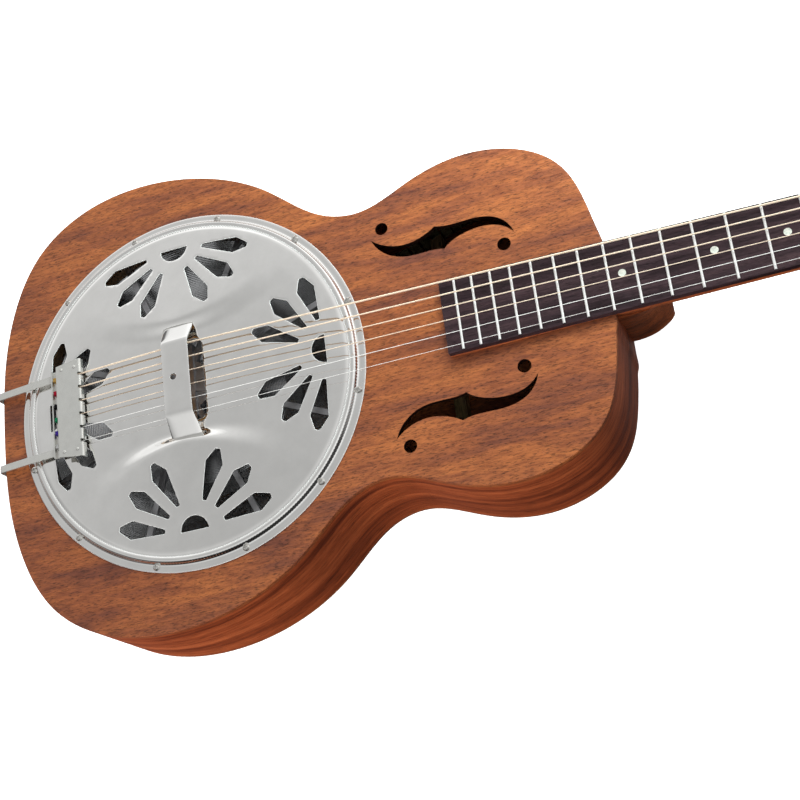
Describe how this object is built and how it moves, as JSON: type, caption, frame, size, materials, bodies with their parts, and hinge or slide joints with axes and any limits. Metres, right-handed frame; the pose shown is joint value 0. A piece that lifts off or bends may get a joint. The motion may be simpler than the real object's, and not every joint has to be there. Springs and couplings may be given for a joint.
{
  "type": "resonator guitar",
  "caption": "Wooden resonator guitar with a pressed metal cover plate over a spun cone, a hand rest, a hooked tailpiece and open geared tuning machines.",
  "frame": {"origin": "on the flat back, straight below the axis of the resonator cone and the saddle", "axes": "+X along the strings to the headstock, +Y to the bass side, +Z out of the body top; the guitar lies on its back"},
  "size_m": [0.9799, 0.361, 0.1128],
  "materials": {
    "mahogany_top": "satin",
    "mahogany_back": "satin",
    "mahogany_side": "satin",
    "mahogany_neck": "satin",
    "lining_wood": "raw",
    "block_wood": "raw",
    "brace_spruce": "raw",
    "well_plywood": "raw",
    "cone_aluminium": "spun",
    "spider_aluminium": "cast",
    "saddle_maple": "satin",
    "nickel_plate": "polished",
    "nickel_trim": "polished",
    "steel_screw": "polished",
    "rosewood": "oiled",
    "fret_wire": "polished",
    "pearl": "polished",
    "bone": "polished",
    "string_bronze": "wound",
    "string_steel": "drawn",
    "ball_brass": "plated",
    "rod_steel": "plain",
    "cover_plastic": "polished",
    "gear_brass": "cut",
    "button_nickel": "polished"
  },
  "bodies": {
    "guitar": {"body_top": "mahogany_top", "body_back": "mahogany_back", "rim_bass": "mahogany_side", "rim_treble": "mahogany_side", "lining_top": "lining_wood", "lining_back": "lining_wood", "neck_block": "block_wood", "tail_block": "block_wood", "braces": "brace_spruce", "soundwell": "well_plywood", "cone": "cone_aluminium", "spider": "spider_aluminium", "saddles": "saddle_maple", "tension_screw": "steel_screw", "coverplate": "nickel_plate", "coverplate_screws": "steel_screw", "hand_rest": "nickel_plate", "tailpiece_frame": "nickel_trim", "tailpiece_cover": "nickel_trim", "tailpiece_rivets": "nickel_trim", "ball_ends": "ball_brass", "strap_button": "nickel_trim", "neck": "mahogany_neck", "neck_extension": "mahogany_neck", "fingerboard": "rosewood", "frets": "fret_wire", "fret_markers": "pearl", "nut": "bone", "truss_rod": "rod_steel", "truss_rod_cover": "cover_plastic", "head_veneer": "rosewood", "head_screws": "steel_screw", "strings_wound": "string_bronze", "strings_plain": "string_steel", "tuner_plates": "nickel_trim", "tuner_bushings": "nickel_trim"},
    "post_1": {"tuner_post_1": "nickel_trim", "tuner_gear_1": "gear_brass"},
    "button_1": {"tuner_worm_1": "steel_screw", "tuner_button_1": "button_nickel"},
    "post_2": {"tuner_post_2": "nickel_trim", "tuner_gear_2": "gear_brass"},
    "button_2": {"tuner_worm_2": "steel_screw", "tuner_button_2": "button_nickel"},
    "post_3": {"tuner_post_3": "nickel_trim", "tuner_gear_3": "gear_brass"},
    "button_3": {"tuner_worm_3": "steel_screw", "tuner_button_3": "button_nickel"},
    "post_4": {"tuner_post_4": "nickel_trim", "tuner_gear_4": "gear_brass"},
    "button_4": {"tuner_worm_4": "steel_screw", "tuner_button_4": "button_nickel"},
    "post_5": {"tuner_post_5": "nickel_trim", "tuner_gear_5": "gear_brass"},
    "button_5": {"tuner_worm_5": "steel_screw", "tuner_button_5": "button_nickel"},
    "post_6": {"tuner_post_6": "nickel_trim", "tuner_gear_6": "gear_brass"},
    "button_6": {"tuner_worm_6": "steel_screw", "tuner_button_6": "button_nickel"}
  },
  "joints": [
    {"name": "button_turn_1", "type": "hinge", "parent": "guitar", "child": "button_1", "pos_m": [0.68227, 0.022, 0.04884], "axis": [0, 1, 0], "continuous": true},
    {"name": "post_turn_1", "type": "hinge", "parent": "guitar", "child": "post_1", "pos_m": [0.68052, 0.022, 0.06974], "axis": [0.2635, 0, 0.9647], "continuous": true},
    {"name": "button_turn_2", "type": "hinge", "parent": "guitar", "child": "button_2", "pos_m": [0.72472, 0.022, 0.03725], "axis": [0, 1, 0], "continuous": true},
    {"name": "post_turn_2", "type": "hinge", "parent": "guitar", "child": "post_2", "pos_m": [0.72296, 0.022, 0.05815], "axis": [0.2635, 0, 0.9647], "continuous": true},
    {"name": "button_turn_3", "type": "hinge", "parent": "guitar", "child": "button_3", "pos_m": [0.76716, 0.022, 0.02565], "axis": [0, 1, 0], "continuous": true},
    {"name": "post_turn_3", "type": "hinge", "parent": "guitar", "child": "post_3", "pos_m": [0.76541, 0.022, 0.04655], "axis": [0.2635, 0, 0.9647], "continuous": true},
    {"name": "button_turn_4", "type": "hinge", "parent": "guitar", "child": "button_4", "pos_m": [0.68227, -0.022, 0.04884], "axis": [0, 1, 0], "continuous": true},
    {"name": "post_turn_4", "type": "hinge", "parent": "guitar", "child": "post_4", "pos_m": [0.68052, -0.022, 0.06974], "axis": [0.2635, 0, 0.9647], "continuous": true},
    {"name": "button_turn_5", "type": "hinge", "parent": "guitar", "child": "button_5", "pos_m": [0.72472, -0.022, 0.03725], "axis": [0, 1, 0], "continuous": true},
    {"name": "post_turn_5", "type": "hinge", "parent": "guitar", "child": "post_5", "pos_m": [0.72296, -0.022, 0.05815], "axis": [0.2635, 0, 0.9647], "continuous": true},
    {"name": "button_turn_6", "type": "hinge", "parent": "guitar", "child": "button_6", "pos_m": [0.76716, -0.022, 0.02565], "axis": [0, 1, 0], "continuous": true},
    {"name": "post_turn_6", "type": "hinge", "parent": "guitar", "child": "post_6", "pos_m": [0.76541, -0.022, 0.04655], "axis": [0.2635, 0, 0.9647], "continuous": true}
  ],
  "couplings": [
    {"joint": "post_turn_1", "follows": "button_turn_1", "ratio": -0.066667},
    {"joint": "post_turn_2", "follows": "button_turn_2", "ratio": -0.066667},
    {"joint": "post_turn_3", "follows": "button_turn_3", "ratio": -0.066667},
    {"joint": "post_turn_4", "follows": "button_turn_4", "ratio": -0.066667},
    {"joint": "post_turn_5", "follows": "button_turn_5", "ratio": -0.066667},
    {"joint": "post_turn_6", "follows": "button_turn_6", "ratio": -0.066667}
  ]
}
